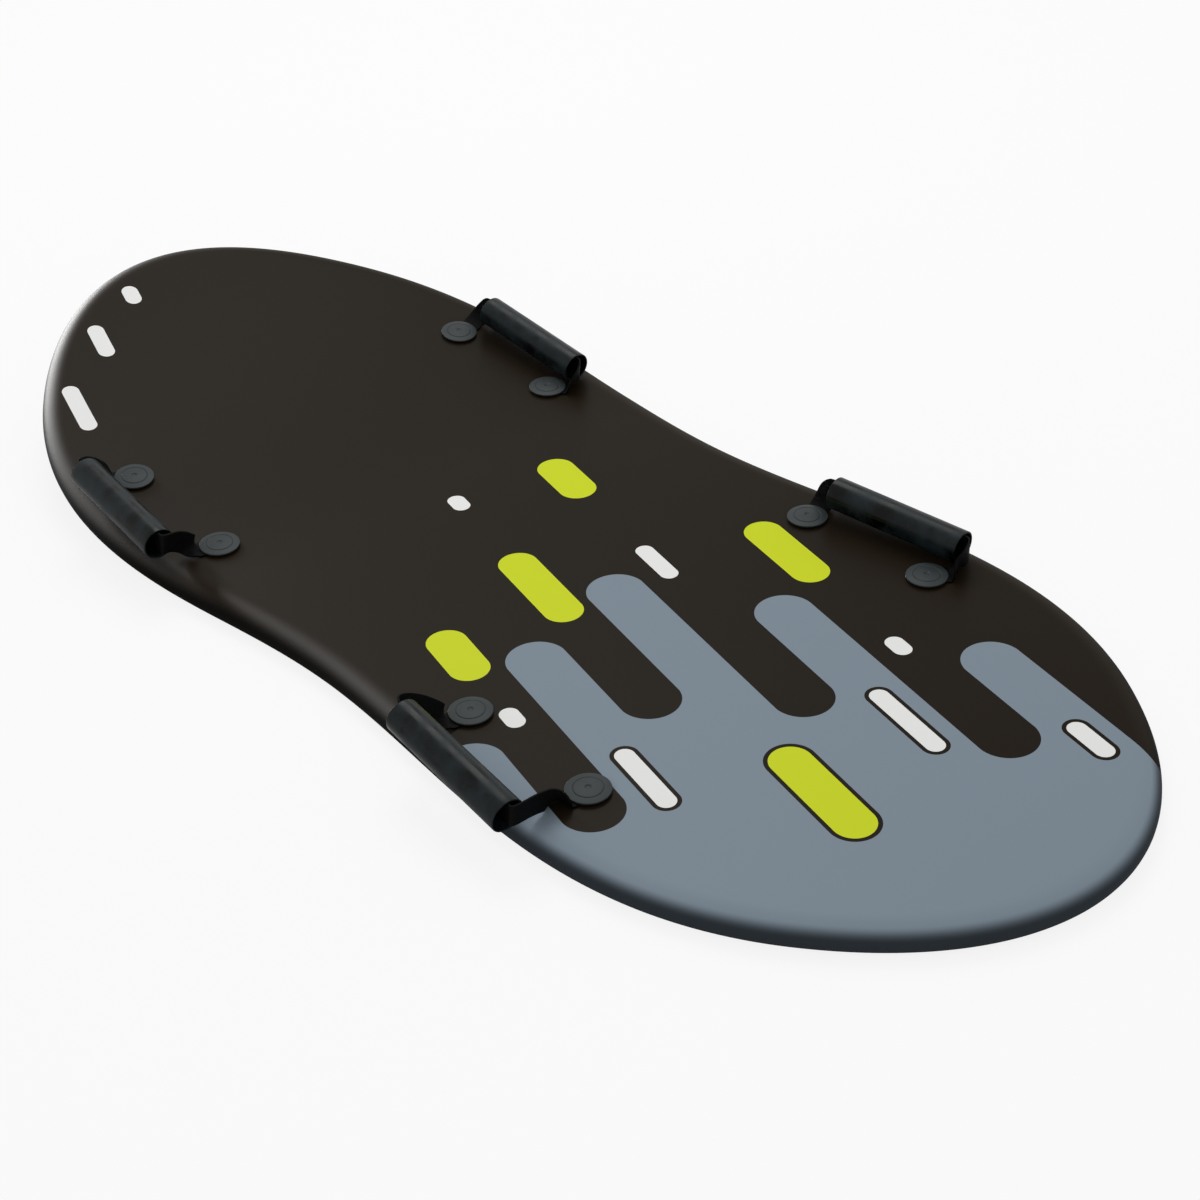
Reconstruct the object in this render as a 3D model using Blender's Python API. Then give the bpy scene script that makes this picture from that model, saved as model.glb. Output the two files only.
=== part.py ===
"""Snow surfer: a foam sliding board for two riders, with an upturned nose and four strap handles.

Metres, +Z up. X runs across the board, Y runs along it with the nose at -Y, and Z is 0 on the flat belly.
The rider looks towards the nose, so the left side is +X.
"""
import math

import bmesh
import bpy
from mathutils import Matrix, Vector

# Outline of the board, measured along the deck before the nose is bent up
BOARD_LENGTH = 1.190
WAIST_WIDTH = 0.462
END_WIDTH = 0.634            # the ellipse that both rounded ends follow
SWELL_RUN = 0.475            # from the waist to where the width follows that ellipse

# Section of the board
BOARD_THICKNESS = 0.022
DECK_EDGE_RADIUS = 0.012
BELLY_EDGE_RADIUS = 0.009
SKIN_THICKNESS = 0.0015
SKIN_LIP = 0.005             # flat part of the skin that turns under the belly
SLICK_THICKNESS = 0.0015

# The nose follows one arc
NOSE_BEND_START = 0.139      # from the middle of the board towards the nose
NOSE_BEND_RADIUS = 1.210     # of the deck's upper surface

# Where the fixings of the handles sit
FIXING_INSET = 0.0415        # each row of fixings, in from the edge at the waist
FIXING_PITCH = 0.132         # along the board, between the two fixings of one handle
FRONT_HANDLE_PLACE = -0.260
REAR_HANDLE_PLACE = 0.208

# Domed cap with a barrel, on the deck
CAP_DIAMETER = 0.035
CAP_EDGE = 0.0012
CAP_DOME = 0.0016
CAP_EDGE_ROUND = 0.0005
CAP_GROOVE_DIAMETER = 0.023
CAP_GROOVE_WIDTH = 0.0012
CAP_GROOVE_DEPTH = 0.0004
CAP_DIMPLE_DIAMETER = 0.006
CAP_DIMPLE_DEPTH = 0.0007
BARREL_DIAMETER = 0.008
BARREL_BORE = 0.0052
BORE_ROOF = 0.003            # solid part of the barrel under the cap

# Flush button with a split stem, in the belly
BUTTON_DIAMETER = 0.028
BUTTON_THICKNESS = 0.0025
BUTTON_ROUND = 0.0005
BUTTON_RECESS = 0.0003
STEM_LENGTH = 0.011
STEM_CHAMFER = 0.0006
STEM_SLOT = 0.0010
STEM_SLOT_DEPTH = 0.007

# Webbing of the handles
STRAP_WIDTH = 0.020
STRAP_THICKNESS = 0.0014
STRAP_TAIL = 0.012           # past the fixing, hidden under the cap
STRAP_RUN_OUT = 0.002        # flat on the deck, past the cap's edge
STRAP_RUN_IN = 0.002         # straight and on edge, before the grip's mouth
STRAP_CLIMB = math.radians(55)

# Tubular grip that the webbing passes through
GRIP_LENGTH = 0.128
GRIP_WALL = 0.0014
GRIP_PLAY = 0.0028           # between the webbing's edges and the grip's bore
GRIP_LIP_ROUND = 0.0004

# How each soft handle lies. reach_share is out from the row of fixings to the grip's axis, of the pitch.
# The other lengths are shares of the webbing's width: lift is the air under the grip, slip is how far it
# has slid towards the tail, and leave and enter are how far the webbing holds its way past a cap and
# before the grip. turn_out swings the grip's tail end outward and droop lowers that end. The webbing
# leaves its caps splayed away from the grip's middle. Pairs give the nose end first, then the tail end
HANDLES = (
    {"name": "front_left", "side": 1, "place": FRONT_HANDLE_PLACE, "reach_share": 0.366, "lift_share": 0.59,
     "slip_share": -0.34, "turn_out": math.radians(4), "droop": math.radians(0.3),
     "splays": (math.radians(30), math.radians(-20)), "leave_shares": (1.75, 1.50), "enter_shares": (0.25, 0.50)},
    {"name": "rear_left", "side": 1, "place": REAR_HANDLE_PLACE, "reach_share": 0.498, "lift_share": 0.49,
     "slip_share": -0.22, "turn_out": math.radians(3.6), "droop": math.radians(7.5),
     "splays": (math.radians(10), math.radians(-10)), "leave_shares": (1.75, 1.25), "enter_shares": (0.50, 0.35)},
    {"name": "front_right", "side": -1, "place": FRONT_HANDLE_PLACE, "reach_share": 0.235, "lift_share": 0.235,
     "slip_share": 0.50, "turn_out": math.radians(-0.8), "droop": math.radians(2.4),
     "splays": (math.radians(10), math.radians(50)), "leave_shares": (0.60, 1.00), "enter_shares": (0.60, 0.25)},
    {"name": "rear_right", "side": -1, "place": REAR_HANDLE_PLACE, "reach_share": 0.228, "lift_share": 0.175,
     "slip_share": 0.45, "turn_out": math.radians(6.5), "droop": math.radians(2.7),
     "splays": (math.radians(10), math.radians(40)), "leave_shares": (1.00, 1.25), "enter_shares": (0.45, 0.35)},
)

FIT_GAP = 0.0003             # between pieces that touch
CUT_OVERRUN = 0.004          # how far a cutter reaches past what it cuts
MERGE_SHARE = 0.0001         # of the webbing's thickness, for welding points that coincide
NUDGE_SHARE = 0.0001         # of a curve, either side of a point, to find its heading

OUTLINE_POINTS = 80
EDGE_STEPS = 3
CAP_SIDES = 22
SMALL_SIDES = 16
STRAP_TURN_STEPS = 10
TWIST_RISE_SHARE = 0.55      # of the webbing's width: it stands on edge once it has risen this far

# Sizes that follow from those above
FIXING_ROW = WAIST_WIDTH / 2 - FIXING_INSET
BARREL_RADIUS = BARREL_DIAMETER / 2
BORE_RADIUS = BARREL_BORE / 2
STEM_RADIUS = BORE_RADIUS - FIT_GAP
HOLE_RADIUS = BARREL_RADIUS + FIT_GAP
POCKET_RADIUS = BUTTON_DIAMETER / 2 + FIT_GAP
GRIP_BORE_RADIUS = math.hypot(STRAP_WIDTH / 2, STRAP_THICKNESS / 2) + GRIP_PLAY
GRIP_RADIUS = GRIP_BORE_RADIUS + GRIP_WALL
GRIP_HANG = GRIP_BORE_RADIUS * math.cos(math.pi / CAP_SIDES) - STRAP_WIDTH / 2 - FIT_GAP

# Heights are measured from the deck, so those inside the board are negative
STRAP_LEVEL = FIT_GAP + STRAP_THICKNESS / 2
CAP_SEAT = STRAP_LEVEL + STRAP_THICKNESS / 2 + FIT_GAP
BELLY = -BOARD_THICKNESS
CORE_BOTTOM = BELLY + max(SKIN_THICKNESS, SLICK_THICKNESS) + FIT_GAP
BUTTON_BOTTOM = BELLY + BUTTON_RECESS
BUTTON_TOP = BUTTON_BOTTOM + BUTTON_THICKNESS
POCKET_TOP = BUTTON_TOP + FIT_GAP
BARREL_END = POCKET_TOP


def start_clean():
    for old in list(bpy.data.objects):
        bpy.data.objects.remove(old, do_unlink=True)


def painted(name, colour, roughness, metallic=0.0):
    material = bpy.data.materials.new(name)
    material.use_nodes = True
    shader = material.node_tree.nodes["Principled BSDF"]
    shader.inputs["Base Color"].default_value = (*colour, 1.0)
    shader.inputs["Roughness"].default_value = roughness
    shader.inputs["Metallic"].default_value = metallic
    return material


def add_object(name, mesh, material):
    part = bpy.data.objects.new(name, mesh)
    bpy.context.scene.collection.objects.link(part)
    if material is not None and not mesh.materials:
        mesh.materials.append(material)
    return part


def finished_mesh(name, bm, crease_angle=math.radians(35)):
    """Turn the working mesh into a closed one with its faces pointing out and its round sides smooth."""
    bmesh.ops.remove_doubles(bm, verts=bm.verts, dist=STRAP_THICKNESS * MERGE_SHARE)
    bmesh.ops.recalc_face_normals(bm, faces=bm.faces)
    mesh = bpy.data.meshes.new(name)
    bm.to_mesh(mesh)
    bm.free()
    mesh.shade_smooth()
    mesh.set_sharp_from_angle(angle=crease_angle)
    return mesh


# The board's curved space: a place is x across, s along the deck, and a height above the deck
def bend_angle(s):
    """How far the deck has turned up at s, which is 0 behind the start of the bend."""
    return max(-NOSE_BEND_START - s, 0.0) / NOSE_BEND_RADIUS


def board_point(x, s, height):
    angle = bend_angle(s)
    if angle == 0.0:
        return Vector((x, s, BOARD_THICKNESS + height))
    y = -NOSE_BEND_START - (NOSE_BEND_RADIUS - height) * math.sin(angle)
    z = BOARD_THICKNESS + NOSE_BEND_RADIUS - (NOSE_BEND_RADIUS - height) * math.cos(angle)
    return Vector((x, y, z))


def board_frame(x, s, height=0.0):
    """A frame that stands on the deck: Y runs to the tail along the deck and Z is the deck's normal."""
    return Matrix.Translation(board_point(x, s, height)) @ Matrix.Rotation(-bend_angle(s), 4, "X")


def smooth_step(share):
    share = min(max(share, 0.0), 1.0)
    return share * share * (3.0 - 2.0 * share)


def outline_place(turn):
    """One point of the outline, as x and s: turn is 0 at the nose's tip and pi at the tail's."""
    s = -BOARD_LENGTH / 2 * math.cos(turn)
    width = WAIST_WIDTH + (END_WIDTH - WAIST_WIDTH) * smooth_step(abs(s) / SWELL_RUN)
    return Vector((width / 2 * math.sin(turn), s))


def outline_ring(inset, height):
    """The outline drawn in by inset, square to itself, at one height."""
    ring = []
    step = math.tau / OUTLINE_POINTS
    for index in range(OUTLINE_POINTS):
        turn = index * step
        along = outline_place(turn + step / 100) - outline_place(turn - step / 100)
        outward = Vector((along.y, -along.x)).normalized()
        place = outline_place(turn) - outward * inset
        ring.append(board_point(place.x, place.y, height))
    return ring


def quarter(centre, radius, start_angle, steps=EDGE_STEPS):
    """Points of a rounded edge, as inset and height, over a quarter turn from start_angle."""
    points = []
    for index in range(steps + 1):
        angle = start_angle + math.pi / 2 * index / steps
        points.append((centre[0] - radius * math.sin(angle), centre[1] + radius * math.cos(angle)))
    return points


def lofted_board(name, profile):
    """Loft the outline along a profile of insets and heights, and close both ends with cross strips."""
    bm = bmesh.new()
    rings = []
    for inset, height in profile:
        rings.append([bm.verts.new(point) for point in outline_ring(inset, height)])
    for upper, lower in zip(rings, rings[1:]):
        for index in range(OUTLINE_POINTS):
            after = (index + 1) % OUTLINE_POINTS
            bm.faces.new((upper[index], upper[after], lower[after], lower[index]))
    for ring in (rings[0], rings[-1]):
        for index in range(OUTLINE_POINTS // 2):
            strip = [ring[index], ring[index + 1], ring[OUTLINE_POINTS - index - 1]]
            if index > 0:
                strip.append(ring[OUTLINE_POINTS - index])
            if ring[index + 1] is ring[OUTLINE_POINTS - index - 1]:
                strip.pop(2)
            bm.faces.new(strip)
    return finished_mesh(name, bm)


def edge_profile(cover, bottom):
    """Rounded edge from the deck to the belly, with cover lying outside it all round."""
    deck_centre = (DECK_EDGE_RADIUS, -DECK_EDGE_RADIUS)
    belly_centre = (BELLY_EDGE_RADIUS, BELLY + BELLY_EDGE_RADIUS)
    deck_round = quarter(deck_centre, DECK_EDGE_RADIUS - cover, 0.0)
    belly_round = quarter(belly_centre, BELLY_EDGE_RADIUS - cover, math.pi / 2)
    belly_round[-1] = (belly_round[-1][0], bottom)
    return deck_round + belly_round


def make_core():
    inner = SKIN_THICKNESS + FIT_GAP
    return lofted_board("foam_core", edge_profile(inner, CORE_BOTTOM))


def make_skin():
    """The printed skin covers the deck, wraps the edges and ends in a lip under the belly."""
    lip = BELLY_EDGE_RADIUS + SKIN_LIP
    outside = edge_profile(0.0, BELLY) + [(lip, BELLY)]
    inside = [(lip, BELLY + SKIN_THICKNESS)]
    inside += list(reversed(edge_profile(SKIN_THICKNESS, BELLY + SKIN_THICKNESS)))
    return lofted_board("deck_skin", outside + inside)


def make_slick():
    """The slick sheet fills the belly inside the skin's lip."""
    inset = BELLY_EDGE_RADIUS + SKIN_LIP + FIT_GAP
    return lofted_board("slick_bottom", [(inset, BELLY + SLICK_THICKNESS), (inset, BELLY)])


def turned(name, profile, sides, crease_angle=math.radians(35)):
    """Spin a half section of radii and heights round Z."""
    bm = bmesh.new()
    verts = [bm.verts.new((radius, 0.0, height)) for radius, height in profile]
    edges = [bm.edges.new(pair) for pair in zip(verts, verts[1:])]
    bmesh.ops.spin(
        bm, geom=verts + edges, cent=(0, 0, 0), axis=(0, 0, 1), angle=math.tau, steps=sides, use_merge=True
    )
    return finished_mesh(name, bm, crease_angle)


def make_cap():
    """Domed cap with a ring groove and a centre dimple, and a hollow barrel that goes through the board."""
    radius = CAP_DIAMETER / 2
    edge_top = CAP_SEAT + CAP_EDGE
    groove = CAP_GROOVE_DIAMETER / 2
    half_groove = CAP_GROOVE_WIDTH / 2
    dimple = CAP_DIMPLE_DIAMETER / 2

    def dome(r):
        return edge_top + CAP_DOME * (1.0 - (r / radius) ** 2)

    profile = [
        (0.0, dome(0.0) - CAP_DIMPLE_DEPTH),
        (dimple / 2, dome(dimple / 2) - CAP_DIMPLE_DEPTH),
        (dimple, dome(dimple)),
        (groove - half_groove, dome(groove - half_groove)),
        (groove, dome(groove) - CAP_GROOVE_DEPTH),
        (groove + half_groove, dome(groove + half_groove)),
        (radius - CAP_EDGE_ROUND, dome(radius - CAP_EDGE_ROUND)),
        (radius, edge_top - CAP_EDGE_ROUND),
        (radius, CAP_SEAT),
        (BARREL_RADIUS, CAP_SEAT),
        (BARREL_RADIUS, BARREL_END),
        (BORE_RADIUS, BARREL_END),
        (BORE_RADIUS, CAP_SEAT - BORE_ROOF),
        (0.0, CAP_SEAT - BORE_ROOF),
    ]
    return turned("fixing_cap", profile, CAP_SIDES)


def make_button(material):
    """Flush button whose stem is split in two springy halves."""
    radius = BUTTON_DIAMETER / 2
    stem_top = BUTTON_TOP + STEM_LENGTH
    profile = [
        (0.0, stem_top),
        (STEM_RADIUS - STEM_CHAMFER, stem_top),
        (STEM_RADIUS, stem_top - STEM_CHAMFER),
        (STEM_RADIUS, BUTTON_TOP),
        (radius - BUTTON_ROUND, BUTTON_TOP),
        (radius, BUTTON_TOP - BUTTON_ROUND),
        (radius, BUTTON_BOTTOM + BUTTON_ROUND),
        (radius - BUTTON_ROUND, BUTTON_BOTTOM),
        (0.0, BUTTON_BOTTOM),
    ]
    plain = add_object("button_blank", turned("button_blank", profile, SMALL_SIDES), material)
    bm = bmesh.new()
    depth = STEM_SLOT_DEPTH + CUT_OVERRUN
    place = Matrix.Translation((0, 0, stem_top - STEM_SLOT_DEPTH + depth / 2))
    size = Matrix.Diagonal((STEM_SLOT, BARREL_DIAMETER, depth, 1.0))
    bmesh.ops.create_cube(bm, size=1.0, matrix=place @ size)
    slot = add_object("stem_slot", finished_mesh("stem_slot", bm), None)
    subtract(plain, slot)
    bpy.context.view_layer.update()
    shaped = bpy.data.meshes.new_from_object(plain.evaluated_get(bpy.context.evaluated_depsgraph_get()))
    shaped.name = "fixing_button"
    bpy.data.objects.remove(plain, do_unlink=True)
    bpy.data.objects.remove(slot, do_unlink=True)
    return shaped


def subtract(part, cutter):
    """Cut with the exact solver and keep the cutter as a wire guide."""
    cut = part.modifiers.new("cut_" + cutter.name, "BOOLEAN")
    cut.operation = "DIFFERENCE"
    cut.solver = "EXACT"
    cut.object = cutter
    cutter.hide_render = True
    cutter.display_type = "WIRE"


def fixing_places():
    """Each fixing as its name, x and s."""
    places = []
    for handle in HANDLES:
        for end, way in (("a", -1), ("b", 1)):
            x = handle["side"] * FIXING_ROW
            s = handle["place"] + way * FIXING_PITCH / 2
            places.append((handle["name"] + "_" + end, x, s))
    return places


def make_hole_cutter():
    """One stepped cutter per fixing: a pocket for the button and a hole for the barrel."""
    profile = [
        (0.0, BELLY - CUT_OVERRUN),
        (POCKET_RADIUS, BELLY - CUT_OVERRUN),
        (POCKET_RADIUS, POCKET_TOP),
        (HOLE_RADIUS, POCKET_TOP),
        (HOLE_RADIUS, CAP_SEAT + CUT_OVERRUN),
        (0.0, CAP_SEAT + CUT_OVERRUN),
    ]
    one = turned("hole_cutter_one", profile, SMALL_SIDES)
    bm = bmesh.new()
    for _, x, s in fixing_places():
        first = len(bm.verts)
        bm.from_mesh(one)
        bm.verts.ensure_lookup_table()
        bmesh.ops.transform(bm, matrix=board_frame(x, s), verts=bm.verts[first:])
    return add_object("hole_cutter", finished_mesh("hole_cutter", bm), None)


def grip_frame(handle):
    """The grip's own frame: its Y is the axis that the sleeve turns on."""
    x = handle["side"] * (FIXING_ROW + FIXING_PITCH * handle["reach_share"])
    s = handle["place"] + STRAP_WIDTH * handle["slip_share"]
    level = board_frame(x, s, STRAP_WIDTH * handle["lift_share"] + GRIP_RADIUS)
    swing = Matrix.Rotation(-handle["side"] * handle["turn_out"], 4, "Z")
    return level @ swing @ Matrix.Rotation(-handle["droop"], 4, "X")


def make_grip():
    """A soft sleeve: a thin tube with rounded lips, turned round Z and laid along Y."""
    half = GRIP_LENGTH / 2
    inner, outer, lip = GRIP_BORE_RADIUS, GRIP_RADIUS, GRIP_LIP_ROUND
    profile = [
        (inner, -half + lip),
        (inner + lip, -half),
        (outer - lip, -half),
        (outer, -half + lip),
        (outer, half - lip),
        (outer - lip, half),
        (inner + lip, half),
        (inner, half - lip),
        (inner, -half + lip),
    ]
    mesh = turned("grip", profile, CAP_SIDES, math.radians(50))
    mesh.transform(Matrix.Rotation(math.pi / 2, 4, "X"))
    return mesh


def bezier(points, share):
    a, b, c, d = points
    rest = 1.0 - share
    return a * rest**3 + b * 3 * rest**2 * share + c * 3 * rest * share**2 + d * share**3


def strap_half(handle, way):
    """Centre points of the webbing and directions of its width, from one fixing into the grip's mouth.

    The grip hangs on the webbing's upper edge, so the webbing runs a little above the grip's axis.
    """
    row, s = handle["side"] * FIXING_ROW, handle["place"] + way * FIXING_PITCH / 2
    frame = board_frame(row, s)
    end = 0 if way < 0 else 1
    splay = handle["splays"][end]
    out = Vector((handle["side"] * math.cos(splay), way * math.sin(splay), 0))
    across = Vector((-out.y, out.x, 0))
    edge = CAP_DIAMETER / 2 + STRAP_RUN_OUT
    reaches = (-STRAP_TAIL, 0.0, edge)
    lying = [board_frame(row + out.x * reach, s + out.y * reach, STRAP_LEVEL) for reach in reaches]
    flat = [place.translation for place in lying]
    flat_widths = [place.to_3x3() @ across for place in lying]
    grip = grip_frame(handle)
    axis = grip.to_3x3() @ Vector((0, way, 0))
    upright = grip.to_3x3() @ Vector((0, 0, 1))
    normal = frame.to_3x3() @ Vector((0, 0, 1))
    mouth = grip.translation + upright * GRIP_HANG + axis * GRIP_LENGTH / 2
    start, finish = flat[-1], mouth + axis * STRAP_RUN_IN
    leave = frame.to_3x3() @ out * math.cos(STRAP_CLIMB) + normal * math.sin(STRAP_CLIMB)
    rising = start + leave * STRAP_WIDTH * handle["leave_shares"][end]
    turning = finish + axis * STRAP_WIDTH * handle["enter_shares"][end]
    curve = (start, rising, turning, finish)
    shares = [index / STRAP_TURN_STEPS for index in range(1, STRAP_TURN_STEPS + 1)]
    turn = [bezier(curve, share) for share in shares]
    headings = [bezier(curve, share + NUDGE_SHARE) - bezier(curve, share - NUDGE_SHARE) for share in shares]
    headings = [heading.normalized() for heading in headings]
    widths = carried_widths(flat_widths[-1], headings)
    roll = nearest_roll(widths[-1], upright, headings[-1])
    full_rise = min(STRAP_WIDTH * TWIST_RISE_SHARE, (finish - start).dot(normal))
    for index, (point, heading) in enumerate(zip(turn, headings)):
        turned_up = roll * smooth_step((point - start).dot(normal) / full_rise)
        widths[index] = Matrix.Rotation(turned_up, 3, heading) @ widths[index]
    return flat + turn + [mouth], flat_widths + widths + [upright]


def carried_widths(width, headings):
    """Carry the width along the curve without twisting it about the way it goes."""
    widths = []
    for heading in headings:
        width = (width - heading * width.dot(heading)).normalized()
        widths.append(width)
    return widths


def nearest_roll(width, wanted, heading):
    """The smaller turn about the heading that lines the width up with the wanted one, either way up."""
    flat_wanted = (wanted - heading * wanted.dot(heading)).normalized()
    roll = math.atan2(width.cross(flat_wanted).dot(heading), width.dot(flat_wanted))
    return roll - math.copysign(math.pi, roll) if abs(roll) > math.pi / 2 else roll


def make_strap(handle):
    """A flat ribbon from fixing to fixing: flat on the deck, then up on edge, and through the grip."""
    first_centres, first_widths = strap_half(handle, -1)
    last_centres, last_widths = strap_half(handle, 1)
    centres = first_centres + list(reversed(last_centres))
    widths = first_widths + list(reversed(last_widths))
    for index in range(1, len(widths)):
        if widths[index].dot(widths[index - 1]) < 0.0:
            widths[index] = -widths[index]
    bm = bmesh.new()
    sections = []
    for index, (centre, width) in enumerate(zip(centres, widths)):
        before = centres[max(index - 1, 0)]
        after = centres[min(index + 1, len(centres) - 1)]
        face = (after - before).cross(width).normalized()
        half_width = width * STRAP_WIDTH / 2
        half_thick = face * STRAP_THICKNESS / 2
        upper, lower = half_width + half_thick, half_width - half_thick
        sections.append([bm.verts.new(centre + corner) for corner in (upper, lower, -upper, -lower)])
    for near, far in zip(sections, sections[1:]):
        for index in range(4):
            after = (index + 1) % 4
            bm.faces.new((near[index], near[after], far[after], far[index]))
    bm.faces.new(sections[0])
    bm.faces.new(sections[-1])
    return finished_mesh("strap_" + handle["name"], bm, math.radians(40))


def add_fold_axis(handle):
    """An empty on the line through both fixings, which the handle folds about."""
    row = handle["side"] * FIXING_ROW
    ends = [board_point(row, handle["place"] + way * FIXING_PITCH / 2, STRAP_LEVEL) for way in (-1, 1)]
    pivot = bpy.data.objects.new("fold_axis_" + handle["name"], None)
    bpy.context.scene.collection.objects.link(pivot)
    pivot.matrix_world = Matrix.Translation((ends[0] + ends[1]) / 2) @ Matrix.Rotation(
        -bend_angle(handle["place"]), 4, "X"
    )
    return pivot


def hang_on(part, pivot):
    """Parent the part to its pivot and leave it where it is."""
    part.parent = pivot
    part.matrix_parent_inverse = pivot.matrix_world.inverted()


def build_board(cutter):
    foam = painted("foam", (0.75, 0.76, 0.75), 0.9)
    skin = painted("skin", (0.026, 0.022, 0.018), 0.45)
    slick = painted("slick_sheet", (0.02, 0.021, 0.023), 0.3)
    for mesh, material in ((make_core(), foam), (make_skin(), skin), (make_slick(), slick)):
        subtract(add_object(mesh.name, mesh, material), cutter)


def build_fixings():
    plastic = painted("grey_plastic", (0.068, 0.078, 0.082), 0.45)
    cap, button = make_cap(), make_button(plastic)
    for name, x, s in fixing_places():
        add_object("cap_" + name, cap, plastic).matrix_world = board_frame(x, s)
        add_object("button_" + name, button, plastic).matrix_world = board_frame(x, s)


def build_handles(cutter):
    webbing = painted("webbing", (0.008, 0.008, 0.009), 0.6)
    vinyl = painted("vinyl", (0.018, 0.022, 0.024), 0.4)
    grip_mesh = make_grip()
    for handle in HANDLES:
        pivot = add_fold_axis(handle)
        grip = add_object("grip_" + handle["name"], grip_mesh, vinyl)
        grip.matrix_world = grip_frame(handle)
        strap = add_object("strap_" + handle["name"], make_strap(handle), webbing)
        subtract(strap, cutter)
        bpy.context.view_layer.update()
        hang_on(grip, pivot)
        hang_on(strap, pivot)


def main():
    start_clean()
    cutter = make_hole_cutter()
    build_board(cutter)
    build_fixings()
    build_handles(cutter)
    bpy.context.view_layer.update()


main()
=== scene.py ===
# %% [markdown]
# # A two-rider snow surfer
#
# A snow surfer is a thick sheet of closed-cell foam. A printed skin is laminated over its deck and round
# its edges, a slick sheet is welded under its belly, and four webbing handles are held by caps that snap
# into buttons through the foam. The working model already has every piece at its real place. This lesson
# gives each of them its fine form and its finish, one piece at a time.

# %% Load the frame
import math

import bmesh
import bpy
from mathutils import Matrix, Vector
from mathutils.kdtree import KDTree


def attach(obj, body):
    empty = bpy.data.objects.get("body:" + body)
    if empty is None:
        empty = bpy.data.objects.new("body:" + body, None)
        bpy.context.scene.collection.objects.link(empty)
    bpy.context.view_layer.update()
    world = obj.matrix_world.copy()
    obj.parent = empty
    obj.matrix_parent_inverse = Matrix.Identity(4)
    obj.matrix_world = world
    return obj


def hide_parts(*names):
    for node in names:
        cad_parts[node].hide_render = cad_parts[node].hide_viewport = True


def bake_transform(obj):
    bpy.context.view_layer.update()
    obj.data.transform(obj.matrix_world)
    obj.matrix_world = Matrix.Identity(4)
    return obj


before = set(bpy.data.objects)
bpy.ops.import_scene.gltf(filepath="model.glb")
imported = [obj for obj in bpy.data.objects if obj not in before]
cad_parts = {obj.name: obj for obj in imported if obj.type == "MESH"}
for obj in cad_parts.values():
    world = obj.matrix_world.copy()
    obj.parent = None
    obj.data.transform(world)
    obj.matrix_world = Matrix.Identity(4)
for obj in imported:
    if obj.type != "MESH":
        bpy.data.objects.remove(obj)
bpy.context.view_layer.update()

# %% [markdown]
# ## Helpers
#
# Colours are written as the hex values that a colour picker shows. Blender's shaders want linear values, so
# one function turns each colour once. A second one adds a node: a socket takes either a value or another
# node's output, so every material reads as a list of what feeds what. A third one starts a material. Nodes
# could also be wired by hand in the shader editor, but written out they can be read and changed in one place.

# %% Colours and nodes
MM = 0.001


def linear(hex_colour):
    """Linear red, green, blue and alpha of an sRGB colour such as 211A11."""
    channels = [int(hex_colour[place:place + 2], 16) / 255 for place in (0, 2, 4)]
    return [c / 12.92 if c <= 0.04045 else ((c + 0.055) / 1.055) ** 2.4 for c in channels] + [1.0]


def add_node(tree, kind, sockets=None, out=0, **settings):
    """Add a node with its settings, fill its sockets with values or links, and return one output."""
    node = tree.nodes.new(kind)
    for name, value in settings.items():
        setattr(node, name, value)
    for name, value in (sockets or {}).items():
        if isinstance(value, bpy.types.NodeSocket):
            tree.links.new(value, node.inputs[name])
        else:
            node.inputs[name].default_value = value
    return node.outputs[out]


def start_material(name, **sockets):
    """A material with one Principled shader, whose constant sockets are set here."""
    material = bpy.data.materials.new(name)
    material.use_nodes = True
    shader = material.node_tree.nodes["Principled BSDF"]
    for socket, value in sockets.items():
        shader.inputs[socket.replace("_", " ")].default_value = value
    return material, material.node_tree, shader


print("middle grey in linear light:", [round(value, 4) for value in linear("808080")])

# %% [markdown]
# ## Camera
#
# The picture was taken from above the tail's left side with a long lens. A camera could be moved about by
# eye, but this one was found by fitting the board's outline and its eight caps to the picture, which also
# told the board's proportions. Its place is in metres, its lens in pixels of the 1200 pixel frame, and the
# small shift says where the lens axis met the picture.

# %% Camera
IMAGE_SIZE = 1200
FOCAL_PIXELS = 2066.9
AXIS_PIXEL = Vector((603.33, 601.84))
SENSOR = 36.0                # width in millimetres, as for full-frame film
CAMERA_PLACE = Vector((0.93729, 1.14711, 0.98361))
CAMERA_TARGET = Vector((0.01779, 0.10620, 0.02200))
CAMERA_ROLL = -0.05          # radians


def make_camera():
    lens = bpy.data.cameras.new("camera")
    lens.sensor_width = SENSOR
    lens.lens = FOCAL_PIXELS / IMAGE_SIZE * SENSOR
    lens.shift_x = (IMAGE_SIZE / 2 - AXIS_PIXEL.x) / IMAGE_SIZE
    lens.shift_y = (AXIS_PIXEL.y - IMAGE_SIZE / 2) / IMAGE_SIZE
    forward = (CAMERA_TARGET - CAMERA_PLACE).normalized()
    level_right = forward.cross(Vector((0, 0, 1))).normalized()
    level_up = level_right.cross(forward)
    right = level_right * math.cos(CAMERA_ROLL) + level_up * math.sin(CAMERA_ROLL)
    turn = Matrix((right, right.cross(forward), -forward)).transposed().to_4x4()
    camera = bpy.data.objects.new("camera", lens)
    camera.matrix_world = Matrix.Translation(CAMERA_PLACE) @ turn
    bpy.context.scene.collection.objects.link(camera)
    bpy.context.scene.camera = camera
    return camera


camera = make_camera()
print("lens:", round(camera.data.lens, 1), "mm")

# %% [markdown]
# ## The board's own space
#
# The foam is cut flat and its nose is then bent up on one arc. It is easiest to think in the flat board: a
# place is x across it, s along it and a height above the deck, and one function bends that place into the
# room. The outline is a formula too: both ends follow an ellipse, and the waist is drawn in smoothly. A curve
# drawn by hand would do for the outline alone, but holes, sheets and webbing all need to ask where it runs.

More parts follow.
